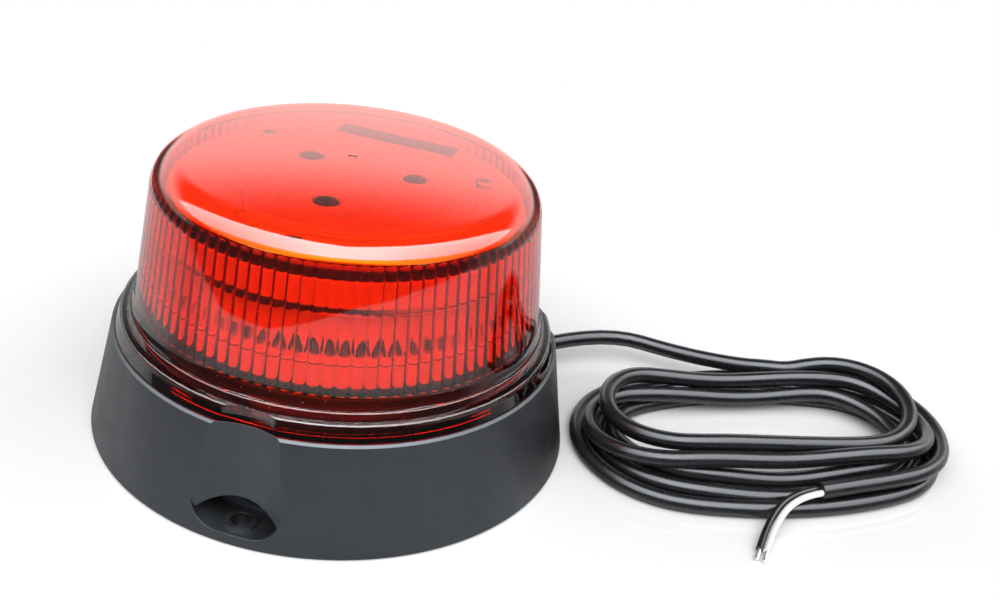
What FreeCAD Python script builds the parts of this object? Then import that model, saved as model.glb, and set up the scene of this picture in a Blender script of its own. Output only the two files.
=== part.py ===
import FreeCAD, Part
import math
import os

os.makedirs("parts", exist_ok=True)

# Driving dimensions, in millimetres and degrees. Origin: centre of the mounting face, +Z up.
base_r = 72.0              # radius of the skirt at the mounting face
base_h = 32.4              # height of the skirt, where the lens flange sits
skirt_lean = 6.3           # how far the skirt leans in over that height
skirt_t = 2.8
edge_round = 0.6           # rounding of the skirt's two edges
deck_t = 3.2               # thickness of the deck under the lens
deck_rise = 6.2            # how far the inner deck stands above the flange seat
chamber_t = 2.5            # wall of the sealed chamber
chamber_gap = 2.7          # between that wall and the foot of the lens
stiffener_t = 1.8
stiffener_lift = 2.0       # clear height below the stiffening ribs
stiffener_turn = 20.0      # angle between them

fixing_count = 3
fixing_turn = 250.4        # azimuth of the recess in front
fixing_in = 7.0            # from the skirt's foot in to the bolts, which gives a 130 mm bolt circle
fixing_hole_d = 5.5        # clearance hole for M5
fixing_boss_d = 9.0
fixing_boss_h = 0.7
recess_half = 12.8         # half width at its widest
recess_floor = 3.2         # thickness of the fixing ear
recess_corner = 7.6
recess_bow = 68.0          # radius of its long sides
recess_depth = 6.2         # from the skirt's foot in to its back wall
recess_scoop_r = 22.0      # that wall is hollow, to this radius
recess_wall_lean = 3.4     # how far that wall leans in, up to the top of the flange
pocket_t = 2.4             # wall round the recess
arch_r = 19.0              # arch over the bolt
arch_drop = 8.0            # its centre lies this far below the mounting face
nut_room = 6.5             # from the bolt's axis in to the back of the arch

lens_h = 85.5              # height of the lens top above the mounting face
lens_t = 2.4
lens_lean = 0.1137         # the wall leans in by this much per millimetre of height
lens_round = 9.3           # rounding between wall and top
crown_turn = 4.65          # slope of the top at its edge
foot_rise = 7.2            # from the flange seat to the straight wall
foot_in = 5.3              # from the flange's rim in to the straight wall
flange_in = 1.0            # the flange's rim lies this far inside the skirt's edge
flange_h = 4.8
flange_round = 0.4
step_h = 1.1               # small step between flange and wall
step_in = 3.8
rib_count = 100
rib_h = 0.7
rib_web = 0.25             # thickness of the band that the ribs stand on
rib_lift = 9.1             # from the flange seat to the lower end of the ribs
gate_r = 1.1               # moulding mark at the centre of the top
gate_h = 0.3
seal_w = 1.8
seal_h = 1.4
seal_gap = 0.1             # between seal and groove, each side
seal_in = 4.5              # from the flange's rim in to the middle of the seal

tower_gap = 1.4            # between the reflectors and the lens ribs
lower_band_h = 9.9         # lower reflector
top_gap = 5.6              # from the plateau to the inside of the lens top
cap_h = 13.0               # upper reflector, up to its ledge
plateau_h = 2.0
ledge_w = 20.0             # from the cap's rim in to the plateau's flat sides
plateau_corner_gap = 0.75  # from the plateau's corners to the screw heads
badge_r = 9.5              # blank round pad in its middle
badge_h = 0.4
reflector_t = 2.2
cap_round = 4.0
band_chamfer = 1.2
drum_in = 3.2              # the drum lies this far inside the reflectors' rim
drum_t = 2.0
window_w = 1.7             # one window behind each rib of the lens
window_h = 4.4
led_count = 24
lamp_room = 11.9           # from the drum in to the aluminium column
core_bore_r = 10.0
fin_slots = 9              # slots in its bore
fin_slot_w = 2.4
fin_slot_depth = 4.5
fin_slot_turn = 20.0       # from a fixing to the first slot
fin_slot_end = 4.4         # solid end of the column above the slots
board_wrap_t = 1.2
board_wrap_h = 11.0
led_w = 3.5
led_t = 1.4
label_w = 38.0
label_l = 11.6
label_t = 0.3
label_gap = 0.6            # between the plateau and the strip

tower_screw_in = 6.5       # from the drum in to the tower screws
tower_screw_r = 1.5
tower_head_r = 2.75
tower_head_h = 1.7
tower_screw_bite = 6.0
cap_screw_in = 12.6        # from the plateau's flat sides in to the cap screws
cap_screw_r = 1.5
cap_head_r = 3.4
cap_head_h = 1.9
cap_hole_r = 4.1
cap_screw_bite = 7.0
screw_gap = 0.1            # clearance of a screw in its hole
socket_r = 1.25            # hexagon socket, across corners over two
socket_h = 1.0

cover_t = 2.5
cover_inset = 1.2          # the plate lies this far above the mounting face
cover_gap = 0.15           # between the plate's rim and the chamber wall
cover_seal_d = 2.0
cover_screws_n = 6
cover_post_gap = 0.3       # between the seal and the posts
cover_post_r = 3.4
cover_post_h = 11.0
cover_tap_end = 1.0        # solid end of a post above its tapped hole
cover_screw_short = 2.0    # how far a screw stops short of the post's end
cover_screw_r = 1.5
cover_head_r = 2.6
cover_head_h = 1.4
vent_r = 6.0
vent_h = 4.0
vent_lip = 1.6
vent_in = 28.6             # from the chamber wall in to the vent

pcb_gap = 14.6             # from the chamber wall to the driver board
pcb_t = 1.6
pcb_lift = 15.0            # height of the board above the mounting face
pcb_post_r = 3.2
pcb_post_in = 6.0          # from the board's rim in to its screws
pcb_screw_bite = 6.0
pcb_tap_depth = 8.0
pcb_screw_r = 1.25
pcb_head_r = 2.3
pcb_head_h = 1.2
capacitor_r = 5.0
capacitor_h = 12.0
choke_r = 6.5
choke_h = 7.0
choke_hole_r = 2.2
chip_w = 7.0
chip_l = 9.0
chip_h = 1.8
terminal_w = 12.0
terminal_l = 8.0
terminal_h = 9.0
wire_r = 0.9
wire_gap = 2.6             # between the two wires of a pair
wire_hole_r = 4.0

cable_d = 5.2
cable_turn = 27.4          # azimuth of the cable exit
cable_lift = 8.6           # height of its axis where it leaves the base
inner_lead_l = 8.0         # length of cable inside the chamber
inner_core_l = 16.0        # from the end of its sheath to the terminal block
exit_clear = 2.0           # the exit hole starts this far outside the chamber
grommet_r = 5.4
grommet_neck = 0.9         # groove that holds the grommet in the skirt
grommet_lip_t = 1.6
grommet_tail = 9.0
grommet_tail_r = 3.7
strand_d = 2.0             # one insulated core
strand_bare = 4.0          # length of its tinned end
strand_bare_d = 1.2
strand_run = 11.0          # length of one bend of a free core
strand_gap = 0.2           # between the two free cores
strand_rest = 1.7          # height of their axes where they end
coil_gap = 1.6             # between the base and the coil
coil_front = 4.0           # how far in front of the base's middle the coil lies
coil_skew = 9.0            # the coil's long axis is turned by this much
coil_long = 126.0          # outside length of the coil
coil_wide = 78.0
coil_end_r = 36.5          # outside radius of its ends
coil_band = 24.0           # breadth of the bundle of turns
coil_tall = 8.5            # mean height of its one to three layers
coil_round = 2.0

cut_past = 1.0             # a cutting tool runs this far past a face
cut_far = 5.0              # and this far past the skirt

ORIGIN = FreeCAD.Vector(0, 0, 0)
UP = FreeCAD.Vector(0, 0, 1)
OUT = FreeCAD.Vector(1, 0, 0)


def in_plane(rz):
    return FreeCAD.Vector(rz[0], 0, rz[1])


def turned(start, *steps):
    """Solid turned about Z from (r, z) corners; a pair of corners is an arc through the first."""
    edges = []
    at = in_plane(start)
    for step in steps + (start,):
        if isinstance(step[0], tuple):
            to = in_plane(step[1])
            edges.append(Part.Arc(at, in_plane(step[0]), to).toShape())
        else:
            to = in_plane(step)
            if at.distanceToPoint(to) > 1e-6:
                edges.append(Part.makeLine(at, to))
        at = to
    return Part.Face(Part.Wire(edges)).revolve(ORIGIN, UP, 360)


def rod(r, z0, z1, x=0.0, y=0.0):
    return Part.makeCylinder(r, z1 - z0, FreeCAD.Vector(x, y, z0))


def ring(r0, r1, z0, z1):
    return rod(r1, z0, z1).cut(rod(r0, z0 - cut_past, z1 + cut_past))


def box(x0, x1, y0, y1, z0, z1):
    return Part.makeBox(x1 - x0, y1 - y0, z1 - z0, FreeCAD.Vector(x0, y0, z0))


def at_turn(shape, turn):
    copy = shape.copy()
    copy.rotate(ORIGIN, UP, turn)
    return copy


def around(shape, count, first=0.0):
    return [at_turn(shape, first + 360.0 * k / count) for k in range(count)]


def joined(shapes):
    whole = shapes[0]
    if len(shapes) > 1:
        whole = shapes[0].multiFuse(shapes[1:])
    return whole.removeSplitter()


def less(shape, tools):
    for tool in tools:
        shape = shape.cut(tool)
    return shape


def prism(corners_yz, x0, x1):
    """Solid between the planes x0 and x1 from (y, z) corners; a pair of corners is an arc."""
    edges = []
    first = FreeCAD.Vector(x0, corners_yz[0][0], corners_yz[0][1])
    at = first
    for step in corners_yz[1:] + [corners_yz[0]]:
        if isinstance(step[0], tuple):
            mid = FreeCAD.Vector(x0, step[0][0], step[0][1])
            to = FreeCAD.Vector(x0, step[1][0], step[1][1])
            edges.append(Part.Arc(at, mid, to).toShape())
        else:
            to = FreeCAD.Vector(x0, step[0], step[1])
            if at.distanceToPoint(to) > 1e-6:
                edges.append(Part.makeLine(at, to))
        at = to
    return Part.Face(Part.Wire(edges)).extrude(OUT * (x1 - x0))


def save(name, *shapes):
    whole = shapes[0] if len(shapes) == 1 else Part.makeCompound(list(shapes))
    for solid in whole.Solids:
        if not solid.isValid() or solid.Volume <= 0:
            raise ValueError(name + " is not a sound solid")
    Part.makeCompound(whole.Solids).exportStep("parts/" + name + ".step")
    saved[name] = whole
    print(name, len(whole.Solids), round(whole.Volume, 1))


saved = {}

# Radii and heights that follow from the driving dimensions
seat_z = base_h
skirt_top_r = base_r - skirt_lean
flange_r = skirt_top_r - flange_in
foot_r = flange_r - foot_in
foot_z = seat_z + foot_rise
flange_z = seat_z + flange_h
chamber_out = foot_r - lens_t - chamber_gap + lens_lean * foot_rise
chamber_r = chamber_out - chamber_t
deck_z = seat_z + deck_rise
pcd_r = base_r - fixing_in
fixing_turns = [fixing_turn + 360.0 * k / fixing_count for k in range(fixing_count)]
window_z = deck_z + lower_band_h
plateau_z = lens_h - lens_t - top_gap
ledge_z = plateau_z - plateau_h
cap_z = ledge_z - cap_h


def skirt_at(z):
    return base_r - skirt_lean * z / base_h


def lens_at(z):
    return foot_r - lens_lean * (z - foot_z)


def recess_wall_at(z):
    return base_r - recess_depth - recess_wall_lean * z / flange_z


# Lens: the rounding's centre follows from the wall, the top and the crown
wall_a = math.atan(lens_lean)
crown_a = math.radians(crown_turn)
crown_k = math.tan(crown_a / 2)
wall_sum = foot_r + lens_lean * foot_z - lens_round * (math.cos(wall_a) + lens_lean * math.sin(wall_a))
top_sum = lens_h - lens_round * (math.sin(crown_a) * crown_k + math.cos(crown_a))
bend_r = (wall_sum - lens_lean * top_sum) / (1 - lens_lean * crown_k)
bend_z = top_sum - crown_k * bend_r


def on_bend(radius, angle):
    return (bend_r + radius * math.cos(angle), bend_z + radius * math.sin(angle))


def dome(inset):
    """Corners of the dome from the end of its wall to the axis, lying inset inside the outside."""
    radius = lens_round - inset
    edge_a = math.pi / 2 - crown_a
    wall_end = on_bend(radius, wall_a)
    edge = on_bend(radius, edge_a)
    ball_r = edge[0] / math.sin(crown_a)
    ball_z = edge[1] - ball_r * math.cos(crown_a)
    half_way = (ball_r * math.sin(crown_a / 2), ball_z + ball_r * math.cos(crown_a / 2))
    return [wall_end, (on_bend(radius, (wall_a + edge_a) / 2), edge), (half_way, (0, ball_z + ball_r))]


inner_lean_t = lens_t / math.cos(wall_a)
rib_z0 = seat_z + rib_lift
rib_z1 = dome(lens_t)[0][1]


def bore_at(z):
    return lens_at(z) - inner_lean_t


def scallop(z):
    """Closed wire of inward half-round ribs on the bore at height z."""
    edges = []
    step = 2 * math.pi / rib_count
    valley = bore_at(z) - rib_web
    for k in range(rib_count):
        points = []
        for part, r in ((0.0, valley), (0.5, valley - rib_h), (1.0, valley)):
            a = (k + part) * step
            points.append(FreeCAD.Vector(r * math.cos(a), r * math.sin(a), z))
        edges.append(Part.Arc(*points).toShape())
    return Part.Wire(edges)


outer = dome(0.0)
lens_body = turned(
    (0, seat_z),
    (flange_r, seat_z),
    (flange_r, flange_z - flange_round),
    (flange_r - flange_round, flange_z),
    (flange_r - step_in, flange_z),
    (flange_r - step_in - flange_round, flange_z + step_h),
    (foot_r, foot_z),
    *outer,
)
inner = dome(lens_t)
lens_hollow_low = turned(
    (0, seat_z - cut_past),
    (bore_at(seat_z - cut_past), seat_z - cut_past),
    (bore_at(rib_z0), rib_z0),
    (0, rib_z0),
)
lens_hollow_mid = Part.makeLoft([scallop(rib_z0), scallop(rib_z1)], True, True)
lens_hollow_top = turned((0, rib_z1), *inner)
gate = rod(gate_r, lens_h - lens_t / 2, lens_h + gate_h)

# Fixing recess at azimuth 0: scooped outline, back wall, arch over the bolt
recess_far = base_r + cut_far
recess_zc = recess_floor + recess_corner
recess_top = flange_z + step_h / 2


def bow_at(z, grow):
    reach = recess_bow + grow
    return recess_half - recess_bow + math.sqrt(reach * reach - (z - recess_zc) ** 2)


def recess_outline(top):
    diag = recess_corner * math.sqrt(0.5)
    half = recess_half
    flat = half - recess_corner
    corner = (flat + diag, recess_zc - diag)
    mid_z = (recess_zc + top) / 2
    return [
        (-flat, recess_floor),
        (flat, recess_floor),
        (corner, (half, recess_zc)),
        ((bow_at(mid_z, 0), mid_z), (bow_at(top, 0), top)),
        (-bow_at(top, 0), top),
        ((-bow_at(mid_z, 0), mid_z), (-half, recess_zc)),
        ((-corner[0], corner[1]), (-flat, recess_floor)),
    ]


def pocket_outline(top):
    half = recess_half + pocket_t
    mid_z = (recess_zc + top) / 2
    return [
        (-half, 0),
        (half, 0),
        (half, recess_zc),
        ((bow_at(mid_z, pocket_t), mid_z), (bow_at(top, pocket_t), top)),
        (-bow_at(top, pocket_t), top),
        ((-bow_at(mid_z, pocket_t), mid_z), (-half, recess_zc)),
    ]


def scoop(grow):
    """Leaning cylinder whose near side is the back wall of a recess."""
    lean = FreeCAD.Vector(-recess_wall_lean, 0, flange_z)
    foot = FreeCAD.Vector(recess_wall_at(0) + recess_scoop_r, 0, 0) - lean
    return Part.makeCylinder(recess_scoop_r + grow, 3 * lean.Length, foot, lean)


def arch(radius, x0, x1):
    centre = FreeCAD.Vector(x0, 0, -arch_drop)
    return Part.makeCylinder(radius, x1 - x0, centre, OUT)


above_floor = box(0, recess_far, -base_r, base_r, recess_floor, recess_top)
above_face = box(0, recess_far, -base_r, base_r, 0, base_h)
recess = prism(recess_outline(recess_top), pcd_r - nut_room * 2, recess_far)
recess = recess.common(scoop(0))
cave = arch(arch_r, pcd_r - nut_room, recess_far).common(above_floor)
cave = cave.common(prism(recess_outline(recess_top), pcd_r - nut_room, recess_far))
fixing_boss = rod(fixing_boss_d / 2, recess_floor / 2, recess_floor + fixing_boss_h, pcd_r)
fixing_hole = rod(fixing_hole_d / 2, -cut_past, recess_floor + fixing_boss_h + cut_past, pcd_r)
pocket = prism(pocket_outline(base_h), chamber_r, recess_far).common(scoop(pocket_t))
cave_shell = arch(arch_r + pocket_t, chamber_r + chamber_t / 2, recess_far).common(above_face)

# Base housing
skirt_body = turned(
    (0, 0),
    (base_r - edge_round, 0),
    (skirt_at(edge_round), edge_round),
    (skirt_at(base_h - edge_round), base_h - edge_round),
    (skirt_top_r - edge_round, base_h),
    (chamber_out, base_h),
    (chamber_out - deck_rise * lens_lean, deck_z),
    (0, deck_z),
)
under_z = base_h - deck_t
skirt_hollow = turned(
    (chamber_out, -cut_past),
    (skirt_at(-cut_past) - skirt_t, -cut_past),
    (skirt_at(under_z) - skirt_t, under_z),
    (chamber_out, under_z),
)
chamber_top = deck_z - deck_t
chamber = rod(chamber_r, -cut_past, chamber_top)
stiffener = box(chamber_r + chamber_t / 2, base_r, -stiffener_t / 2, stiffener_t / 2,
                stiffener_lift, base_h - deck_t / 2)
stiffener_first = fixing_turn + 180.0 / fixing_count
stiffeners = []
for k in (-1, 0, 1):
    stiffeners += around(stiffener, fixing_count, stiffener_first + k * stiffener_turn)
pockets = []
scoops = []
for turn in fixing_turns:
    pockets += [at_turn(pocket, turn), at_turn(cave_shell, turn)]
    scoops += [at_turn(recess, turn), at_turn(cave, turn)]
seal_r = flange_r - seal_in
groove_half = seal_w / 2 + seal_gap
seal_groove = ring(seal_r - groove_half, seal_r + groove_half, seat_z - seal_h, seat_z + cut_past)

# Cable exit, worked out along +X at azimuth 0 and then turned
exit_x = skirt_at(cable_lift)
cable_r = cable_d / 2
skirt_in_x = exit_x - skirt_t
inner_lead_x = chamber_r - inner_lead_l
grommet_end = exit_x + grommet_lip_t + grommet_tail


def along_exit(r, x0, x1):
    return Part.makeCylinder(r, x1 - x0, FreeCAD.Vector(x0, 0, cable_lift), OUT)


exit_hole = along_exit(grommet_r - grommet_neck, chamber_out + exit_clear, exit_x + cut_far)
chamber_hole = along_exit(cable_r, chamber_r - cut_past, chamber_out + exit_clear)

cover_z0 = cover_inset
cover_z1 = cover_inset + cover_t
cover_screw_turn_r = chamber_r - cover_seal_d - cover_post_gap - cover_post_r
cover_post = rod(cover_post_r, cover_z1, cover_z1 + cover_post_h, cover_screw_turn_r)
cover_web = box(cover_screw_turn_r, chamber_out - chamber_t / 2, -cover_post_r / 2, cover_post_r / 2,
                cover_z1 + cover_seal_d * 2, cover_z1 + cover_post_h)
cover_first = fixing_turn + 30.0
cover_posts = around(cover_post, cover_screws_n, cover_first) + around(cover_web, cover_screws_n, cover_first)
cover_post_z = cover_z1 + cover_post_h
cover_tap = rod(cover_screw_r, 0, cover_post_z - cover_tap_end, cover_screw_turn_r)
cover_taps = around(cover_tap, cover_screws_n, cover_first)
pcb_z1 = pcb_lift + pcb_t
pcb_r = chamber_r - pcb_gap
pcb_post_turn_r = pcb_r - pcb_post_in
pcb_post = rod(pcb_post_r, pcb_z1, chamber_top + deck_t / 2, pcb_post_turn_r)
pcb_first = fixing_turn + 60.0
pcb_posts = around(pcb_post, 3, pcb_first)
pcb_taps = around(rod(pcb_screw_r, pcb_lift, pcb_z1 + pcb_tap_depth, pcb_post_turn_r), 3, pcb_first)
wire_hole = rod(wire_hole_r, chamber_top - cut_past, deck_z + cut_past)

skirt = less(skirt_body, [skirt_hollow, chamber])
inside_skirt = turned(
    (chamber_r, 0),
    (base_r - edge_round, 0),
    (skirt_at(edge_round), edge_round),
    (skirt_at(base_h - edge_round), base_h - edge_round),
    (skirt_top_r - edge_round, base_h),
    (chamber_r, base_h),
)
walls = [part.common(inside_skirt) for part in stiffeners + pockets]
base = joined([skirt] + walls + cover_posts + pcb_posts)
base = less(base, scoops)
base = joined([base] + around(fixing_boss, fixing_count, fixing_turn))
base = less(base, around(fixing_hole, fixing_count, fixing_turn))
base = less(base, [seal_groove, wire_hole, at_turn(exit_hole, cable_turn), at_turn(chamber_hole, cable_turn)])
base = less(base, cover_taps + pcb_taps)
save("base_housing", base)

lens = less(lens_body, [lens_hollow_low, lens_hollow_mid, lens_hollow_top])
lens = lens.fuse(gate)
lens = less(lens, around(recess, fixing_count, fixing_turn))
save("lens_dome", lens)
save("lens_seal", ring(seal_r - seal_w / 2, seal_r + seal_w / 2, seat_z - seal_h, seat_z))

# Reflector tower
tower_r = bore_at(ledge_z - cap_round) - rib_web - rib_h - tower_gap
core_top = ledge_z - reflector_t
drum_out = tower_r - drum_in
drum_r = drum_out - drum_t
core_r = drum_r - lamp_room
tower_screw_turn_r = drum_r - tower_screw_in
plateau_in = tower_r - ledge_w
plateau_corner = tower_screw_turn_r - tower_head_r - plateau_corner_gap
cap_screw_turn_r = plateau_in - cap_screw_in
shelf_z = window_z - reflector_t
tower_hole = rod(tower_screw_r + screw_gap, deck_z + cut_past, plateau_z + cut_past, tower_screw_turn_r)
tower_holes = around(tower_hole, 3, fixing_turn)
lower = turned(
    (core_r, deck_z),
    (tower_r - band_chamfer, deck_z),
    (tower_r, deck_z + band_chamfer),
    (tower_r, window_z),
    (drum_out + reflector_t, window_z),
    (drum_out, shelf_z),
    (core_r, shelf_z),
)
tower_bite_z = shelf_z - tower_screw_bite
tower_tap = rod(tower_screw_r, tower_bite_z, shelf_z + cut_past, tower_screw_turn_r)
lower = less(lower, around(tower_tap, 3, fixing_turn))
save("lower_reflector", lower)

drum = ring(drum_r, drum_out, shelf_z, cap_z)
window_spring = window_z + window_h - window_w / 2
window = prism(
    [
        (-window_w / 2, window_z),
        (window_w / 2, window_z),
        (window_w / 2, window_spring),
        ((0, window_z + window_h), (-window_w / 2, window_spring)),
    ],
    drum_r - cut_past,
    drum_out + cut_past,
)
drum = less(drum, around(window, rib_count, 180.0 / rib_count))
save("reflector_drum", drum)

triangle = Part.makePolygon([
    FreeCAD.Vector(2 * plateau_in * math.cos(a), 2 * plateau_in * math.sin(a), ledge_z)
    for a in (0, 2 * math.pi / 3, 4 * math.pi / 3, 0)
])
plateau = Part.Face(triangle).extrude(UP * plateau_h)
plateau = at_turn(plateau.common(rod(plateau_corner, ledge_z, plateau_z)), fixing_turn)
corner_edges = [edge for edge in plateau.Edges
                if abs(edge.Vertexes[0].Z - edge.Vertexes[-1].Z) > plateau_h / 2]
plateau = plateau.makeFillet(plateau_in / 4, corner_edges)
cap = turned(
    (0, core_top),
    (tower_r - reflector_t - cap_round / 2, core_top),
    (tower_r - reflector_t, core_top - cap_round / 2),
    (tower_r - reflector_t, cap_z + reflector_t),
    (drum_r, cap_z + reflector_t),
    (drum_r, cap_z),
    (tower_r, cap_z),
    (tower_r, ledge_z - cap_round),
    ((tower_r - cap_round * (1 - math.sqrt(0.5)), ledge_z - cap_round * (1 - math.sqrt(0.5))),
     (tower_r - cap_round, ledge_z)),
    (0, ledge_z),
)
cap = joined([cap, plateau, rod(badge_r, ledge_z, plateau_z + badge_h)])
cap_well = rod(cap_hole_r, ledge_z, plateau_z + cut_past, cap_screw_turn_r)
cap_hole = rod(cap_screw_r + screw_gap, core_top - cut_past, plateau_z + cut_past, cap_screw_turn_r)
cap = less(cap, around(cap_well, 3, fixing_turn) + around(cap_hole, 3, fixing_turn) + tower_holes)
save("upper_reflector", cap)

core = ring(core_bore_r, core_r, deck_z, core_top)
slot = box(0, core_bore_r + fin_slot_depth, -fin_slot_w / 2, fin_slot_w / 2,
           deck_z - cut_past, core_top - fin_slot_end)
core = less(core, around(slot, fin_slots, fixing_turn + fin_slot_turn))
wire_z = shelf_z + board_wrap_h * 0.8
wire_way = Part.makeCylinder(wire_gap / 2 + wire_r * 1.5, core_r + cut_past, UP * wire_z, OUT)
core = core.cut(wire_way)
cap_bite_z = core_top - cap_screw_bite
cap_tap = rod(cap_screw_r, cap_bite_z, core_top + cut_past, cap_screw_turn_r)
core = less(core, around(cap_tap, 3, fixing_turn))
save("heat_sink", core)

wrap_out = core_r + board_wrap_t
save("led_board", ring(core_r, wrap_out, shelf_z, shelf_z + board_wrap_h))
led_z = window_z + window_h / 2
led = box(wrap_out - board_wrap_t / 4, wrap_out + led_t, -led_w / 2, led_w / 2,
          led_z - led_w / 2, led_z + led_w / 2)
led = led.cut(rod(wrap_out, led_z - led_w, led_z + led_w))
save("led_packages", *around(led, led_count, fixing_turn))


def socket_screw(shank_r, tip_z, head_r, head_h, x):
    """Screw at distance x from the axis, its head on the cap's ledge."""
    shank = rod(shank_r, tip_z, ledge_z, x)
    head = rod(head_r, ledge_z, ledge_z + head_h, x)
    head = head.makeChamfer(head_h / 5, [edge for edge in head.Edges if edge.BoundBox.ZMin > ledge_z])
    hexagon = Part.makePolygon([
        FreeCAD.Vector(x + socket_r * math.cos(a), socket_r * math.sin(a), ledge_z + head_h - socket_h)
        for a in [math.radians(60 * k) for k in range(7)]
    ])
    return shank.fuse(head).cut(Part.Face(hexagon).extrude(UP * (socket_h + cut_past)))


tower_screw = socket_screw(tower_screw_r, tower_bite_z, tower_head_r, tower_head_h, tower_screw_turn_r)
save("tower_screws", *around(tower_screw, 3, fixing_turn))
cap_screw = socket_screw(cap_screw_r, cap_bite_z, cap_head_r, cap_head_h, cap_screw_turn_r)
save("cap_screws", *around(cap_screw, 3, fixing_turn))
label_x = plateau_in + label_gap
label = box(label_x, label_x + label_l, -label_w / 2, label_w / 2, ledge_z, ledge_z + label_t)
save("label_strip", at_turn(label, fixing_turn + 180))

# Driver board and what stands on it
pcb = rod(pcb_r, pcb_lift, pcb_z1)
pcb_way = rod(pcb_screw_r + screw_gap, pcb_lift - cut_past, pcb_z1 + cut_past, pcb_post_turn_r)
pcb = less(pcb, around(pcb_way, 3, pcb_first))
save("driver_board", pcb)
pcb_screw = rod(pcb_screw_r, pcb_lift, pcb_z1 + pcb_screw_bite, pcb_post_turn_r).fuse(
    rod(pcb_head_r, pcb_lift - pcb_head_h, pcb_lift, pcb_post_turn_r))
save("board_screws", *around(pcb_screw, 3, pcb_first))


def on_board(r, height, share_x, share_y):
    return rod(r, pcb_z1, pcb_z1 + height, share_x * pcb_r, share_y * pcb_r)


def chip(share_x, share_y):
    x = share_x * pcb_r
    y = share_y * pcb_r
    return box(x - chip_l / 2, x + chip_l / 2, y - chip_w / 2, y + chip_w / 2, pcb_z1, pcb_z1 + chip_h)


save(
    "capacitors",
    on_board(capacitor_r, capacitor_h, 0.53, -0.37),
    on_board(capacitor_r, capacitor_h, 0.18, -0.58),
)
choke = on_board(choke_r, choke_h, -0.53, 0.32).cut(on_board(choke_hole_r, choke_h + cut_past, -0.53, 0.32))
save("inductor", choke)
save("driver_chips", chip(-0.55, -0.12), chip(-0.07, 0.49))

# Plate under the chamber
cover = rod(chamber_r - cover_gap, cover_z0, cover_z1)
cover_head_z = cover_z0 + cover_head_h
cover_head_room = rod(cover_head_r + screw_gap, cover_z0 - cut_past, cover_head_z, cover_screw_turn_r)
cover_way = rod(cover_screw_r + screw_gap, cover_z0, cover_z1 + cut_past, cover_screw_turn_r)
vent_x = vent_in - chamber_r
for tool in (cover_head_room, cover_way):
    cover = less(cover, around(tool, cover_screws_n, cover_first))
cover = cover.cut(rod(vent_r, cover_z0 - cut_past, cover_z1 + cut_past, vent_x))
save("bottom_cover", cover)
cover_screw = rod(cover_screw_r, cover_head_z, cover_post_z - cover_screw_short, cover_screw_turn_r)
cover_screw = cover_screw.fuse(rod(cover_head_r, cover_z0, cover_head_z, cover_screw_turn_r))
save("cover_screws", *around(cover_screw, cover_screws_n, cover_first))
save("cover_seal", ring(chamber_r - cover_seal_d, chamber_r, cover_z1, cover_z1 + cover_seal_d))
vent = rod(vent_r, cover_z0, cover_z1 + vent_h, vent_x).fuse(
    rod(vent_r + vent_lip, cover_z1, cover_z1 + vent_h, vent_x))
save("vent_plug", vent.cut(rod(vent_r / 3, cover_z0 - cut_past, cover_z1 + vent_h / 2, vent_x)))


def tube(points, d, name):
    """Round solid along straight runs joined by tangent arcs; prints its tightest bend and its length."""
    edges = []
    bends = []
    at = points[0]
    for before, corner, after in zip(points, points[1:], points[2:]):
        into = (corner - before).normalize()
        away = (after - corner).normalize()
        turn = into.getAngle(away)
        trim = 0.45 * min((corner - before).Length, (after - corner).Length)
        radius = trim / math.tan(turn / 2)
        middle = corner + (away - into).normalize() * (radius / math.cos(turn / 2) - radius)
        edges.append(Part.makeLine(at, corner - into * trim))
        edges.append(Part.Arc(corner - into * trim, middle, corner + away * trim).toShape())
        bends.append(radius)
        at = corner + away * trim
    edges.append(Part.makeLine(at, points[-1]))
    path = Part.Wire(edges)
    section = Part.Wire([Part.makeCircle(d / 2, points[0], points[1] - points[0])])
    solid = path.makePipeShell([section], True, False)
    share = solid.Volume / (math.pi * d * d / 4 * path.Length)
    print(name, "bends", [round(r, 1) for r in bends], "length", round(path.Length, 1))
    print(name, "volume share", round(share, 4))
    return solid


# Lamp leads, from the driver board up the column's bore and out to the wrapped board
lamp_leads = []
for side in (-wire_gap / 2, wire_gap / 2):
    lead = tube(
        [
            FreeCAD.Vector(0, side, pcb_z1),
            FreeCAD.Vector(0, side, wire_z),
            FreeCAD.Vector(core_r + wire_r, side, wire_z),
        ],
        2 * wire_r,
        "lamp lead",
    )
    lamp_leads.append(lead.common(rod(core_r, 0, lens_h)))
save("led_wires", *lamp_leads)

# Cable through the base
terminal_x = inner_lead_x - inner_core_l
terminal = box(terminal_x - terminal_l, terminal_x, -terminal_w / 2, terminal_w / 2,
               pcb_lift - terminal_h, pcb_lift)
save("terminal_block", at_turn(terminal, cable_turn))
inner_cores = []
for side in (-strand_d / 2, strand_d / 2):
    core_start = FreeCAD.Vector(terminal_x, side, cable_lift)
    inner_core = Part.makeCylinder(strand_d / 2, inner_core_l, core_start, OUT)
    inner_cores.append(at_turn(inner_core, cable_turn))
save("inner_cores", *inner_cores)
save("inner_lead", at_turn(along_exit(cable_r, inner_lead_x, grommet_end), cable_turn))
grommet = along_exit(grommet_r, skirt_in_x - grommet_lip_t * 2, exit_x + grommet_lip_t)
tail_start = FreeCAD.Vector(exit_x + grommet_lip_t, 0, cable_lift)
grommet = grommet.fuse(Part.makeCone(grommet_r - grommet_neck, grommet_tail_r, grommet_tail, tail_start, OUT))
grommet = grommet.cut(along_exit(cable_r, skirt_in_x - cut_far, grommet_end + cut_past))
save("cable_grommet", at_turn(grommet, cable_turn).cut(base))

# Cable on the floor
coil_turn = math.radians(coil_skew)
coil_x = base_r + coil_gap + coil_long / 2


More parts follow.
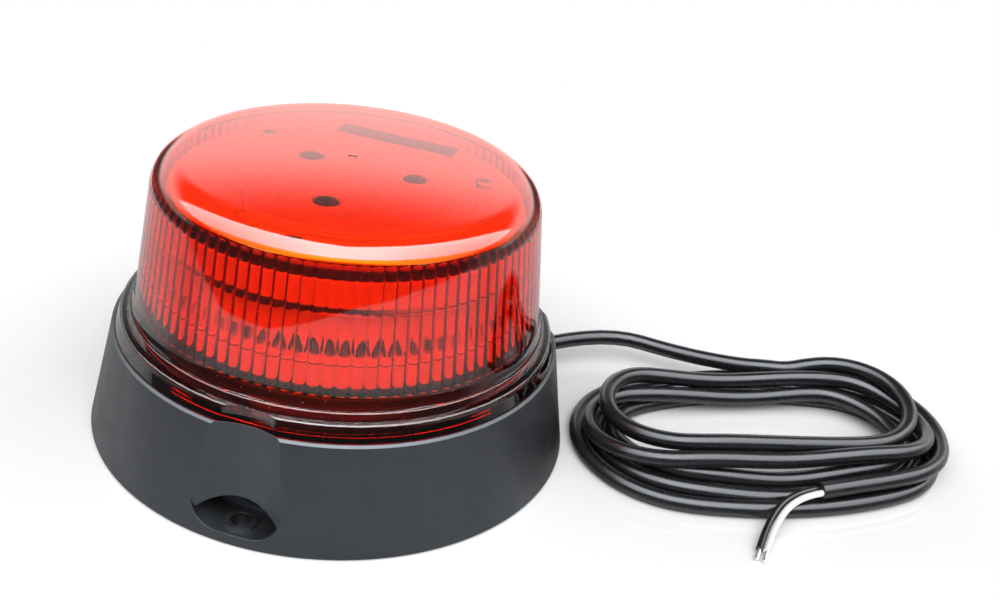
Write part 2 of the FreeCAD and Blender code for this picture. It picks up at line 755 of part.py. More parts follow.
def oval(inset, z0, z1):
    """Solid oval of four tangent arcs, lying inset inside the coil's outline."""
    end_r = coil_end_r - inset
    half_long = coil_long / 2
    half_wide = coil_wide / 2
    reach = half_long * half_long + half_wide * half_wide - 2 * half_long * coil_end_r
    side_r = reach / (2 * (half_wide - coil_end_r))
    end_x = half_long - coil_end_r
    side_y = half_wide - side_r
    meet_a = math.atan2(-side_y, end_x)
    meet_x = end_x + end_r * math.cos(meet_a)
    meet_y = end_r * math.sin(meet_a)

    def level(x, y):
        return FreeCAD.Vector(x, y, z0)

    end = end_x + end_r
    side = side_y + side_r - inset
    edges = [
        Part.Arc(level(meet_x, -meet_y), level(end, 0), level(meet_x, meet_y)).toShape(),
        Part.Arc(level(meet_x, meet_y), level(0, side), level(-meet_x, meet_y)).toShape(),
        Part.Arc(level(-meet_x, meet_y), level(-end, 0), level(-meet_x, -meet_y)).toShape(),
        Part.Arc(level(-meet_x, -meet_y), level(0, -side), level(meet_x, -meet_y)).toShape(),
    ]
    solid = Part.Face(Part.Wire(edges)).extrude(UP * (z1 - z0))
    solid.rotate(ORIGIN, UP, coil_skew)
    solid.translate(FreeCAD.Vector(coil_x, -coil_front, 0))
    return solid


def by_coil(long_share, wide_share, z):
    """Point at shares of the coil's half length and half width from its centre."""
    u = long_share * coil_long / 2
    v = wide_share * coil_wide / 2
    x = coil_x + u * math.cos(coil_turn) - v * math.sin(coil_turn)
    y = u * math.sin(coil_turn) + v * math.cos(coil_turn) - coil_front
    return FreeCAD.Vector(x, y, z)


coil = oval(0, 0, coil_tall)
coil = coil.makeFillet(coil_round, [edge for edge in coil.Edges if edge.BoundBox.ZMin > coil_tall / 2])
coil = coil.cut(oval(coil_band, -cut_past, coil_tall + cut_past))
save("cable_coil", coil)

exit_a = math.radians(cable_turn)
heading = FreeCAD.Vector(math.cos(exit_a), math.sin(exit_a), 0)
leave = heading * grommet_end + UP * cable_lift
route = [
    leave,
    leave + heading * (4.6 * cable_d),
    by_coil(-0.178, 1.24, 0.75 * coil_tall),
    by_coil(0.145, 0.923, 0.75 * coil_tall),
]
save("cable_lead", tube(route, cable_d, "lead").cut(coil))

over = coil_tall + cable_r
tail_end = by_coil(0.055, -0.955, over)
tail_route = [
    by_coil(0.78, -0.66, 0.7 * coil_tall),
    by_coil(0.60, -0.77, over),
    by_coil(0.41, -0.835, over),
    by_coil(0.23, -0.88, over),
    tail_end,
]
save("cable_tail", tube(tail_route, cable_d, "tail").cut(coil))

# Free cores, side by side from the end of the sheath down to the floor
tail_way = tail_route[-1] - tail_route[-2]
tail_heading = math.atan2(tail_way.y, tail_way.x)
fall = over - strand_rest
free_end = [tail_end]
for share, turn, drop in ((0.85, 0.0, 0.0), (1.1, 28.0, 0.7), (1.0, 48.0, 0.3)):
    way = tail_heading + math.radians(turn)
    run = strand_run * share
    free_end.append(free_end[-1] + FreeCAD.Vector(run * math.cos(way), run * math.sin(way), -drop * fall))


def beside(points, distance):
    """The same route, moved sideways by the given distance."""
    moved = []
    for k, point in enumerate(points):
        into = points[max(k, 1)] - points[max(k, 1) - 1]
        last = min(k + 1, len(points) - 1)
        away = points[last] - points[last - 1]
        left_in = UP.cross(into).normalize()
        left_out = UP.cross(away).normalize()
        moved.append(point + (left_in + left_out) * (distance / (1 + left_in.dot(left_out))))
    return moved


tips = []
for name, side in (("core_black", -1), ("core_white", 1)):
    core_route = beside(free_end, side * (strand_d + strand_gap) / 2)
    save(name, tube(core_route, strand_d, name))
    tip_way = (core_route[-1] - core_route[-2]).normalize()
    tips.append(Part.makeCylinder(strand_bare_d / 2, strand_bare, core_route[-1], tip_way))
    print(name, "tip height", round((core_route[-1] + tip_way * strand_bare).z, 2))
save("core_tips", *tips)
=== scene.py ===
import math

import bpy
import numpy as np
from mathutils import Matrix, Vector


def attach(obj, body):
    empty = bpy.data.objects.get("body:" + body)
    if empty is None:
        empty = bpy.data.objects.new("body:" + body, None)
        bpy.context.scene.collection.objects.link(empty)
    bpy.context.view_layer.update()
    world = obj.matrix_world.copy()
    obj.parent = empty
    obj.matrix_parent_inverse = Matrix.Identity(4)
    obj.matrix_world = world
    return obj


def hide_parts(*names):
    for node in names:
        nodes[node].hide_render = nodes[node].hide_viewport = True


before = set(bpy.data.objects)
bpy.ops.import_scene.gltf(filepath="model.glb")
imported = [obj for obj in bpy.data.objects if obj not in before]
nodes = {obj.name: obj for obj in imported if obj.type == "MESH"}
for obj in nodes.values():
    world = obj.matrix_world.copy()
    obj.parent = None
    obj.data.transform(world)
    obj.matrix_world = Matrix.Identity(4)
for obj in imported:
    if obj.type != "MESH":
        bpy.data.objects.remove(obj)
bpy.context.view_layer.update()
scene = bpy.context.scene
MM = 0.001

# Sizes repeated from the part's source, in millimetres and degrees
BASE_R, BASE_H, SKIRT_LEAN = 72.0, 32.4, 6.3
EDGE_ROUND = 0.6
FIXING_COUNT, FIXING_TURN = 3, 250.4
RECESS_DEPTH, RECESS_SCOOP_R, RECESS_WALL_LEAN = 6.2, 22.0, 3.4
LENS_H, LENS_T, LENS_LEAN, LENS_ROUND, CROWN_TURN = 85.5, 2.4, 0.1137, 9.3, 4.65
FLANGE_IN, FLANGE_H = 1.0, 4.8
FOOT_IN, FOOT_RISE = 5.3, 7.2
RIB_COUNT, RIB_WEB, RIB_LIFT = 100, 0.25, 9.1
CABLE_D, CABLE_TURN, CABLE_LIFT, GROMMET_END = 5.2, 27.4, 8.6, 80.93
COIL_X, COIL_Y, COIL_SKEW = 136.6, -4.0, 9.0
HALF_LONG, HALF_WIDE = 63.0, 39.0
STRAND_D, TIP_L = 2.0, 4.0

# Sizes worked out from them
CABLE_R = CABLE_D / 2
FLANGE_R = BASE_R - SKIRT_LEAN - FLANGE_IN
FLANGE_Z = BASE_H + FLANGE_H
FOOT_R = FLANGE_R - FOOT_IN
FOOT_Z = BASE_H + FOOT_RISE
RIB_Z = BASE_H + RIB_LIFT
WALL_TURN = math.degrees(math.atan(LENS_LEAN))


# Camera
def make_camera():
    """Camera at the place that the photograph's axes and outline give."""
    data = bpy.data.cameras.new("camera")
    data.lens = 45.0
    data.sensor_width = 36.0
    data.clip_start = 0.01
    data.clip_end = 20.0
    right = Vector((0.98896, -0.07327, 0.12882))
    up = Vector((-0.07883, 0.47602, 0.87589))
    turn = Matrix((right, up, right.cross(up))).transposed().to_4x4()
    turn.translation = (0.0, -0.33049, 0.21885)
    camera = bpy.data.objects.new("camera", data)
    scene.collection.objects.link(camera)
    camera.matrix_world = turn
    scene.camera = camera


make_camera()

# Cable
# Where each loose turn passes the right, the front, the left and the back, from the coil's centre
TURNS_RIGHT = (52.0, 55.6, 46.8, 52.4, 58.0, 60.8, 60.8)
TURNS_FRONT = (-18.9, -23.8, -25.3, -30.9, -36.4, -36.4, -36.4)
TURNS_LEFT = (-52.0, -58.2, -49.4, -55.0, -60.6, -61.0, -61.0)
TURNS_BACK = (27.4, 23.2, 19.4, 25.05, 30.7, 36.4, 36.4)
TURNS_SKEW = (4.0, -2.5, 0.0, 0.0, 0.0, 0.0, 0.0)
STEPS_PER_TURN = 36
FIRST_SHARE, LAST_SHARE = 0.165, -5.03
# Counted in turns: those that lie on top, where the tail starts to rise, and where it lies on no other turn
TOP_TURNS, RISE_TURN, LOOSE_TURN = 1.9, 5.0, 5.04
# Points before and after the coil, as shares of its half length and half width, with a height
LEAD = ((-0.19, 1.15, 7.6), (0.085, 0.875, 9.4), (0.205, 0.785, 10.8))
TAIL = ((0.88, -0.46, 7.9), (0.786, -0.62, 7.8), (0.659, -0.733, 7.9),
        (0.479, -0.80, 8.0), (0.27, -0.846, 8.0), (0.058, -0.897, 8.0))
LEAD_STRAIGHT = 4.6 * CABLE_D


def by_coil(u, v):
    """Place of a point that is given along and across the coil."""
    a = math.radians(COIL_SKEW)
    x = COIL_X + u * math.cos(a) - v * math.sin(a)
    y = COIL_Y + u * math.sin(a) + v * math.cos(a)
    return x, y


def on_oval(share, half_long, half_wide, end_r):
    """Point of an oval of four arcs at a share of its outline, from its right end towards its back."""
    side_r = (half_long ** 2 + half_wide ** 2 - 2 * half_long * end_r) / (2 * (half_wide - end_r))
    meet = math.atan2(side_r - half_wide, half_long - end_r)
    end_l = end_r * meet
    quarter = end_l + side_r * (math.pi / 2 - meet)
    lap = (share % 1.0) * 4 * quarter
    fold = int(lap // quarter)
    s = lap - fold * quarter
    if fold % 2:
        s = quarter - s
    if s < end_l:
        a = s / end_r
        u, v = half_long - end_r + end_r * math.cos(a), end_r * math.sin(a)
    else:
        a = meet + (s - end_l) / side_r
        u, v = side_r * math.cos(a), half_wide - side_r + side_r * math.sin(a)
    return (u if fold in (0, 3) else -u), (v if fold in (0, 1) else -v)


def smooth(f):
    """Share from 0 to 1 with a soft start and end."""
    return f * f * (3 - 2 * f)


def eased(values, t):
    """Value at t turns, easing from one turn to the next."""
    k = min(max(math.floor(t), 0), len(values) - 2)
    return values[k] + (values[k + 1] - values[k]) * smooth(min(max(t - k, 0.0), 1.0))


def coil_plan():
    """Plan of the coil: its points, and the turns made since the back of the first turn."""
    least_end_r, side_rise, least_bow = 22.0, 3.5, 0.3
    plan, turns = [], []
    for k in range(round((FIRST_SHARE - LAST_SHARE) * STEPS_PER_TURN) + 1):
        share = FIRST_SHARE - k / STEPS_PER_TURN
        t = 0.25 - share
        right, front = eased(TURNS_RIGHT, t - 0.25), eased(TURNS_FRONT, t - 0.5)
        left, back = eased(TURNS_LEFT, t - 0.75), eased(TURNS_BACK, t)
        half_wide = (back - front) / 2
        end_r = min(max(least_end_r, half_wide - side_rise), half_wide - least_bow)
        u, v = on_oval(share, (right - left) / 2, half_wide, end_r)
        u += (right + left) / 2
        skew = math.radians(eased(TURNS_SKEW, t))
        along = u * math.cos(skew) - v * math.sin(skew)
        across = (back + front) / 2 + u * math.sin(skew) + v * math.cos(skew)
        plan.append(by_coil(along, across))
        turns.append(t)
    return np.array(plan), np.array(turns)


def resting_heights(plan, turns):
    """Heights of the turns, each lying on those under it, with long low humps over the crossings."""
    gap, hump_r, apart, top_layer = CABLE_D * 1.03, 110.0, 0.35, 10
    tail_rise, rise_span = 5.3, 0.2
    laps, first_laps, push, most_push, blurs = 24, 8, 0.5, 1.5, 4
    step = np.diff(plan, axis=0)
    run = np.concatenate([[0], np.cumsum(np.linalg.norm(step, axis=1))])
    fall = (run[:, None] - run[None, :]) ** 2 / (2 * hump_r)
    layer = np.where(turns < TOP_TURNS, top_layer - turns, -turns)
    loose = turns > LOOSE_TURN
    ground = CABLE_R + tail_rise * smooth(np.clip((turns - RISE_TURN) / rise_span, 0, 1))
    height = ground.copy()
    extra = np.zeros(len(plan))
    for lap in range(laps):
        need = ground.copy()
        for i, point in enumerate(plan):
            f = np.clip(((point - plan[:-1]) * step).sum(1) / (step ** 2).sum(1), 0, 1)
            away = ((plan[:-1] + f[:, None] * step - point) ** 2).sum(1)
            under = height[:-1] * (1 - f) + height[1:] * f
            near = (away < gap * gap) & (layer[:-1] < layer[i])
            near &= np.abs(turns[:-1] - turns[i]) > apart
            near &= ~loose[:-1] & ~loose[i]
            if near.any():
                need[i] = max(CABLE_R, (under[near] + np.sqrt(gap * gap - away[near])).max())
        if lap > first_laps:
            extra = np.maximum(extra + push * (need - height), 0)
        height = ((need + np.minimum(extra, most_push))[None, :] - fall).max(1)
        for _ in range(blurs):
            height[1:-1] = (height[:-2] + 2 * height[1:-1] + height[2:]) / 4
    return height


def cord_points():
    """Route of the cable, from the grommet through the coil to the end of the sheath."""
    a = math.radians(CABLE_TURN)
    points = []
    for along in (GROMMET_END, GROMMET_END + LEAD_STRAIGHT):
        points.append((along * math.cos(a), along * math.sin(a), CABLE_LIFT))
    for long_share, wide_share, z in LEAD:
        points.append((*by_coil(long_share * HALF_LONG, wide_share * HALF_WIDE), z))
    plan, turns = coil_plan()
    for (x, y), z in zip(plan, resting_heights(plan, turns)):
        points.append((x, y, z))
    for long_share, wide_share, z in TAIL:
        points.append((*by_coil(long_share * HALF_LONG, wide_share * HALF_WIDE), z))
    return points


def spline_curve(name, points, radius):
    """Round tube along a smooth curve through the spans of the points."""
    curve = bpy.data.curves.new(name, "CURVE")
    curve.dimensions = "3D"
    spline = curve.splines.new("NURBS")
    spline.points.add(len(points) - 1)
    for point, co in zip(spline.points, points):
        point.co = (co[0] * MM, co[1] * MM, co[2] * MM, 1.0)
        point.radius = radius * MM
    spline.order_u = 3
    spline.use_endpoint_u = True
    spline.resolution_u = 6
    curve.bevel_depth = 1.0
    curve.bevel_resolution = 6
    curve.use_fill_caps = True
    piece = bpy.data.objects.new(name, curve)
    scene.collection.objects.link(piece)
    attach(piece, "root")
    return piece


route = cord_points()
cable = spline_curve("cable", route, CABLE_R)
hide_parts("cable_lead", "cable_coil", "cable_tail")

# Free cores
# Runs of a core: length, turn from the sheath's heading and share of the fall to the floor
CORE_RUNS = ((9.35, 0.0, 0.0), (12.1, 28.0, 0.7), (11.0, 48.0, 0.3))
CORE_SIDE = 1.1
CORE_END_LIFT = 0.85 * STRAND_D


def free_core(name, side):
    """One insulated core, from the end of the sheath down to the floor."""
    end, before = Vector(route[-1]), Vector(route[-2])
    heading = math.atan2(end.y - before.y, end.x - before.x)
    points = [end.copy()]
    fall = end.z - CORE_END_LIFT
    for run, turn, drop in CORE_RUNS:
        way = heading + math.radians(turn)
        points.append(points[-1] + Vector((run * math.cos(way), run * math.sin(way), -drop * fall)))
    moved = []
    for k, p in enumerate(points):
        into = points[max(k, 1)] - points[max(k, 1) - 1]
        last = min(k + 1, len(points) - 1)
        away = points[last] - points[last - 1]
        left_in = Vector((-into.y, into.x, 0)).normalized()
        left_out = Vector((-away.y, away.x, 0)).normalized()
        moved.append(p + (left_in + left_out) * (side / (1 + left_in.dot(left_out))))
    tip = moved[-1] + (moved[-1] - moved[-2]).normalized() * TIP_L
    return spline_curve(name, moved, STRAND_D / 2), moved[-1], tip


core_black, black_end, black_tip = free_core("core_black_wire", -CORE_SIDE)
core_white, white_end, white_tip = free_core("core_white_wire", CORE_SIDE)
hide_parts("core_black")
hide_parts("core_white")

# Tinned tips
TIP_WIRES, TIP_RING_R, TIP_WIRE_R = 7, 0.4, 0.2
TIP_ROWS, TIP_SIDES, TIP_TWIST, TIP_INSET = 9, 8, 14.0, 0.2
SHARP_TURN = 38.0


def add_mesh(name, verts, faces):
    """Piece from points in millimetres, shaded smooth between its sharp edges."""
    mesh = bpy.data.meshes.new(name)
    mesh.from_pydata([(x * MM, y * MM, z * MM) for x, y, z in verts], [], faces)
    mesh.validate()
    mesh.polygons.foreach_set("use_smooth", [True] * len(mesh.polygons))
    mesh.set_sharp_from_angle(angle=math.radians(SHARP_TURN))
    mesh.update()
    piece = bpy.data.objects.new(name, mesh)
    scene.collection.objects.link(piece)
    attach(piece, "root")
    return piece


def ring_faces(first, rows, seg):
    """Quads between rows of points, each row a closed ring."""
    faces = []
    for i in range(rows - 1):
        low, high = first + i * seg, first + (i + 1) * seg
        for j in range(seg):
            k = (j + 1) % seg
            faces.append((low + j, low + k, high + k, high + j))
    return faces


def strand_tips():
    """Tinned ends: a twist of thin wires each, all but one in a ring round the last."""
    verts, faces = [], []
    for start, tip in ((black_end, black_tip), (white_end, white_tip)):
        way = (tip - start).normalized()
        side = way.cross(Vector((0, 0, 1))).normalized()
        up = side.cross(way)
        for wire in range(TIP_WIRES):
            ring_r = TIP_RING_R if wire < TIP_WIRES - 1 else 0.0
            first = len(verts)
            for i in range(TIP_ROWS):
                along = TIP_L * i / (TIP_ROWS - 1) if i else -TIP_INSET
                a = math.radians(360 * wire / (TIP_WIRES - 1) + TIP_TWIST * i)
                centre = start + way * along + (side * math.cos(a) + up * math.sin(a)) * ring_r
                for j in range(TIP_SIDES):
                    b = 2 * math.pi * j / TIP_SIDES
                    verts.append(centre + (side * math.cos(b) + up * math.sin(b)) * TIP_WIRE_R)
            faces += ring_faces(first, TIP_ROWS, TIP_SIDES)
            last = first + (TIP_ROWS - 1) * TIP_SIDES
            faces.append(tuple(range(last, last + TIP_SIDES)))
            faces.append(tuple(reversed(range(first, first + TIP_SIDES))))
    return add_mesh("tinned_tips", verts, faces)


tips = strand_tips()
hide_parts("core_tips")

# Lens, in finer detail than the solid
FLANGE_BREAK, FLANGE_DRAFT, FLANGE_ROUND, FLANGE_ROUND_FROM = 0.3, 1.25, 0.9, 16.0
GUTTER_R = 61.55
COLLAR_R, COLLAR_H, COLLAR_ROUND, COLLAR_ROUND_FROM = 60.35, 2.1, 0.55, 20.0
# From the collar to the wall: radius, and height above the flange
COLLAR_END = ((60.15, 2.1), (60.1, 2.15), (59.13, 4.8))
# Marks on the crown: radius, and height above it
GATE_MARK = ((1.3, 0.0), (1.15, 0.2), (0.8, 0.3), (0.0, 0.3))
INNER_RING = ((8.5, 0.0), (8.35, -0.12), (7.9, -0.12), (7.75, 0.0), (0.0, 0.0))
RIB_H, RIB_MEAN_R, PER_RIB = 0.56, 53.5, 8
RIB_LEAD, RIB_STEP = 0.6, 0.05
# Foot of a rib: height above its start, and share of its full depth
RIB_START = ((0.0, 0.6), (0.35, 0.86), (0.8, 1.0))
# Steps of the rounding over which the ribs run on, and then fade
RIB_RUN_ON, RIB_FADE = 4.0, 4.0
FLANGE_ROWS, WALL_ROWS, RIB_ROWS = 4, 10, 9
FLANGE_STEPS, COLLAR_STEPS = 9, 8
# Steps of the rounding and of the crown
OUTER_STEPS, INNER_STEPS = (24, 26), (32, 20)
TOUCH = 0.1


def arc(cx, cz, r, start, end, steps):
    """Points of an arc between two angles."""
    points = []
    for k in range(steps + 1):
        a = math.radians(start + (end - start) * k / steps)
        points.append((cx + r * math.cos(a), cz + r * math.sin(a)))
    return points


def lens_bend():
    """Centre of the rounding between the leaning wall and the crown: radius and height."""
    wall_a, crown_a = math.radians(WALL_TURN), math.radians(CROWN_TURN)
    k = math.tan(crown_a / 2)
    wall = FOOT_R + LENS_LEAN * FOOT_Z - LENS_ROUND * (math.cos(wall_a) + LENS_LEAN * math.sin(wall_a))
    top = LENS_H - LENS_ROUND * (math.sin(crown_a) * k + math.cos(crown_a))
    r = (wall - LENS_LEAN * top) / (1 - LENS_LEAN * k)
    return r, top - k * r


def dome_profile(inset, bend_steps, crown_steps, marks):
    """From the end of the wall over the rounding to the axis, with small marks on the crown."""
    path = arc(*lens_bend(), LENS_ROUND - inset, WALL_TURN, 90 - CROWN_TURN, bend_steps)
    edge_r, edge_z = path[-1]
    ball = edge_r / math.sin(math.radians(CROWN_TURN))
    ball_z = edge_z - ball * math.cos(math.radians(CROWN_TURN))
    for k in range(1, crown_steps):
        a = math.radians(CROWN_TURN) * (1 - k / crown_steps)
        path.append((ball * math.sin(a), ball_z + ball * math.cos(a)))
    for r, lift in marks:
        path.append((r, ball_z + math.sqrt(ball ** 2 - r ** 2) + lift))
    return sorted(path, reverse=True)


def notched(r, a, z):
    """Radius of the flange at an azimuth, drawn in where a fixing recess runs through it."""
    centre = BASE_R - RECESS_DEPTH - RECESS_WALL_LEAN * z / FLANGE_Z + RECESS_SCOOP_R
    for k in range(FIXING_COUNT):
        off = a - math.radians(FIXING_TURN + 360 / FIXING_COUNT * k)
        reach = RECESS_SCOOP_R ** 2 - (centre * math.sin(off)) ** 2
        if z < FLANGE_Z + TOUCH and reach > 0 and math.cos(off) > 0:
            wall = centre * math.cos(off) - math.sqrt(reach)
            r = min(r, wall - min(FLANGE_R - r, EDGE_ROUND))
    return r


def lens_outside():
    """Outline from the foot of the flange over the wall to the axis: radius and height."""
    low, high = BASE_H + FLANGE_BREAK, FLANGE_Z - FLANGE_ROUND
    path = [(FLANGE_R - FLANGE_BREAK, BASE_H), (FLANGE_R, low)]
    for k in range(1, FLANGE_ROWS + 1):
        share = k / FLANGE_ROWS
        path.append((FLANGE_R - FLANGE_DRAFT * share, low + (high - low) * share))
    rim_r = FLANGE_R - FLANGE_DRAFT - FLANGE_ROUND
    path += arc(rim_r, high, FLANGE_ROUND, FLANGE_ROUND_FROM, 90, FLANGE_STEPS)
    path.append((GUTTER_R, FLANGE_Z))
    collar_z = FLANGE_Z + COLLAR_H - COLLAR_ROUND
    path += arc(COLLAR_R, collar_z, COLLAR_ROUND, COLLAR_ROUND_FROM, 90, COLLAR_STEPS)
    for r, lift in COLLAR_END:
        path.append((r, FLANGE_Z + lift))
    dome = dome_profile(0.0, *OUTER_STEPS, GATE_MARK)
    foot_r, foot_z = path[-1]
    end_r, end_z = dome[0]
    for k in range(1, WALL_ROWS):
        share = k / WALL_ROWS
        path.append((foot_r + (end_r - foot_r) * share, foot_z + (end_z - foot_z) * share))
    return path + dome


def lens_inside():
    """Bore from its foot to the axis: radius, height and share of the ribs' depth."""
    inset = LENS_T / math.cos(math.radians(WALL_TURN))

    def bore(z):
        """Radius of the bore at a height, without the ribs."""
        return FOOT_R - LENS_LEAN * (z - FOOT_Z) - inset

    path = [(bore(BASE_H), BASE_H, 0.0)]
    path.append((bore(RIB_Z - RIB_LEAD), RIB_Z - RIB_LEAD, 0.0))
    path.append((bore(RIB_Z), RIB_Z - RIB_STEP, 0.0))
    for lift, share in RIB_START:
        path.append((bore(RIB_Z + lift), RIB_Z + lift, share))
    full_z = path[-1][1]
    dome = dome_profile(LENS_T, *INNER_STEPS, INNER_RING)
    for k in range(1, RIB_ROWS + 1):
        z = full_z + (dome[0][1] - full_z) * k / RIB_ROWS
        path.append((bore(z), z, 1.0))
    for k, (r, z) in enumerate(dome[1:]):
        faded = max(0.0, k - RIB_RUN_ON) / RIB_FADE
        path.append((r, z, math.sqrt(max(0.0, 1 - faded ** 2))))
    return path


def rib_heights():
    """Heights of the points across one rib, which lie on an arc."""
    chord = 2 * math.pi * RIB_MEAN_R / RIB_COUNT
    round_r = (chord ** 2 / 4 + RIB_H ** 2) / (2 * RIB_H)
    heights = []
    for j in range(PER_RIB):
        x = (j / PER_RIB - 0.5) * chord
        heights.append(max(0.0, math.sqrt(max(round_r ** 2 - x ** 2, 0.0)) - (round_r - RIB_H)))
    return heights


def dome_faces(first, rows, seg):
    """Faces of rows of points that close in the one point after them."""
    faces = ring_faces(first, rows, seg)
    last, peak = first + (rows - 1) * seg, first + rows * seg
    for j in range(seg):
        faces.append((last + j, last + (j + 1) % seg, peak))
    return faces


def lens_mesh():
    """The lens: its outside, its bore with the ribs, and the ring that joins them at the foot."""
    seg = RIB_COUNT * PER_RIB
    azimuths = [2 * math.pi * j / seg for j in range(seg)]
    outer, inner, ribs = lens_outside(), lens_inside(), rib_heights()
    verts = []
    for r, z in outer[:-1]:
        for a in azimuths:
            q = notched(r, a, z)
            verts.append((q * math.cos(a), q * math.sin(a), z))
    verts.append((0, 0, outer[-1][1]))
    first = len(verts)
    for r, z, share in inner[:-1]:
        for j, a in enumerate(azimuths):
            q = r - share * (RIB_WEB + ribs[j % PER_RIB])
            verts.append((q * math.cos(a), q * math.sin(a), z))
    verts.append((0, 0, inner[-1][1]))
    faces = dome_faces(0, len(outer) - 1, seg)
    faces += [face[::-1] for face in dome_faces(first, len(inner) - 1, seg)]
    for j in range(seg):
        k = (j + 1) % seg
        faces.append((first + j, first + k, k, j))
    return add_mesh("lens", verts, faces)


lens = lens_mesh()
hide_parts("lens_dome")

# Parts of materials
# Scales of the noises, per metre
MOTTLE, SHEEN = 60.0, 140.0
METAL_MOTTLE, METAL_SHEEN, METAL_GRAIN = 300.0, 500.0, 1200.0


def new_material(name):
    """Material with its node tree and its main shader."""
    material = bpy.data.materials.new(name)
    material.use_nodes = True
    tree = material.node_tree
    return material, tree, tree.nodes["Principled BSDF"]


def link(tree, source, target):
    """Join two sockets."""
    tree.links.new(source, target)


def noise(tree, scale, detail=4.0):
    """Soft noise in the piece's own space."""
    where = tree.nodes.new("ShaderNodeTexCoord")
    texture = tree.nodes.new("ShaderNodeTexNoise")
    texture.inputs["Scale"].default_value = scale
    texture.inputs["Detail"].default_value = detail
    texture.inputs["Roughness"].default_value = 0.55
    link(tree, where.outputs["Object"], texture.inputs["Vector"])
    return texture.outputs["Fac"]


def mapped(tree, value, low, high, from_low=0.3, from_high=0.7):
    """Value carried from one span to another; the first span fits a noise unless given."""
    node = tree.nodes.new("ShaderNodeMapRange")
    node.inputs["From Min"].default_value = from_low
    node.inputs["From Max"].default_value = from_high
    node.inputs["To Min"].default_value = low
    node.inputs["To Max"].default_value = high
    link(tree, value, node.inputs["Value"])
    return node.outputs["Result"]


def maths(tree, op, a, b=0.0):
    """Sum, product and the like of numbers or sockets."""
    node = tree.nodes.new("ShaderNodeMath")
    node.operation = op
    for socket, value in zip(node.inputs, (a, b)):
        if isinstance(value, (int, float)):
            socket.default_value = value
        else:
            link(tree, value, socket)
    return node.outputs[0]


def product(tree, *parts):
    """Product of numbers or sockets."""
    out = parts[0]
    for part in parts[1:]:
        out = maths(tree, "MULTIPLY", out, part)
    return out


def mixed(tree, factor, one, two):
    """Mix of two colours, each given by its values or by a socket."""
    node = tree.nodes.new("ShaderNodeMix")
    node.data_type = "RGBA"
    for socket, value in zip(node.inputs[6:8], (one, two)):
        if isinstance(value, tuple):
            socket.default_value = (*value, 1)
        else:
            link(tree, value, socket)
    link(tree, factor, node.inputs[0])
    return node.outputs[2]


def bumped(tree, shader, height, strength, distance, edge=0.0):
    """Fine relief; sharp edges are shaded as if rounded by the edge radius."""
    node = tree.nodes.new("ShaderNodeBump")
    node.inputs["Strength"].default_value = strength
    node.inputs["Distance"].default_value = distance * MM
    link(tree, height, node.inputs["Height"])
    if edge:
        rounded = tree.nodes.new("ShaderNodeBevel")
        rounded.inputs["Radius"].default_value = edge * MM
        link(tree, rounded.outputs["Normal"], node.inputs["Normal"])
    link(tree, node.outputs["Normal"], shader.inputs["Normal"])


def plastic(name, dark, light, rough, grain=900.0, bump=0.15, depth=0.05, edge=0.0, gloss=0.5,
            tint=(1.0, 1.0, 1.0)):
    """Moulded plastic: faint mottling, varying gloss and a fine grain."""
    material, tree, shader = new_material(name)
    link(tree, mixed(tree, noise(tree, MOTTLE), dark, light), shader.inputs["Base Color"])
    link(tree, mapped(tree, noise(tree, SHEEN), *rough), shader.inputs["Roughness"])
    shader.inputs["Specular IOR Level"].default_value = gloss
    shader.inputs["Specular Tint"].default_value = (*tint, 1)
    bumped(tree, shader, noise(tree, grain, 2.0), bump, depth, edge)
    return material


def metal(name, dark, light, rough):
    """Metal with a fine mottling."""
    material, tree, shader = new_material(name)
    link(tree, mixed(tree, noise(tree, METAL_MOTTLE), dark, light), shader.inputs["Base Color"])
    link(tree, mapped(tree, noise(tree, METAL_SHEEN), *rough), shader.inputs["Roughness"])
    shader.inputs["Metallic"].default_value = 1.0
    bumped(tree, shader, noise(tree, METAL_GRAIN, 2.0), strength=0.1, distance=0.02)
    return material


# Painted shade on the white parts behind the lens, and a band of painted shade and one of painted orange
# highlight on the lens: the heights over which each starts and ends, in millimetres
DIM_START, DIM_END = (75.4, 76.0), (78.1, 78.7)
GLOW_START, GLOW_END = (78.6, 78.8), (79.8, 80.0)
CAP_TEETH_START, CAP_FOOT_END = (63.4, 63.8), (64.7, 65.1)
CAP_LINE_START, CAP_LINE_END = (63.3, 63.4), (63.8, 64.0)
CAP_RIM_START, CAP_RIM_END = (72.6, 72.9), (74.5, 74.8)
CAP_TOP_START = (75.3, 75.4)
DRUM_UNDER_START = (60.5, 62.0)
ARCH_START, ARCH_END = (48.8, 49.0), (53.8, 54.2)
FOOT_LINE_START, FOOT_LINE_END = (47.7, 47.8), (48.1, 48.2)
FOOT_END = (41.2, 41.6)
# How far round from the front they stay and where they are gone, in shares of a turn
FRONT_HALF, FRONT_LINE, FRONT_FOOT, FRONT_ARCHES = (0.19, 0.25), (0.13, 0.17), (0.06, 0.12), (0.05, 0.09)
# Turn of the front fade of the painted shadow under the cap, in rib pitches; how dark the painted lines and
# the painted shade on the top are; depth of the shadow's teeth, rise and sides of the painted arches; how
# far up a face must look to count as level
CAP_FOOT_SHIFT = 4.0
LINE_LEVEL, TOP_LEVEL = 0.8, 0.42
TOOTH_H, ARCH_H, ARCH_SIDES = 3.0, 20.0, (0.43, 0.45)
LEVEL_FACES = (0.5, 0.85)
# Colour of the painted shade on the white parts behind the lens
PAINTED_SHADE_COLOUR = (0.012, 0.010, 0.010)
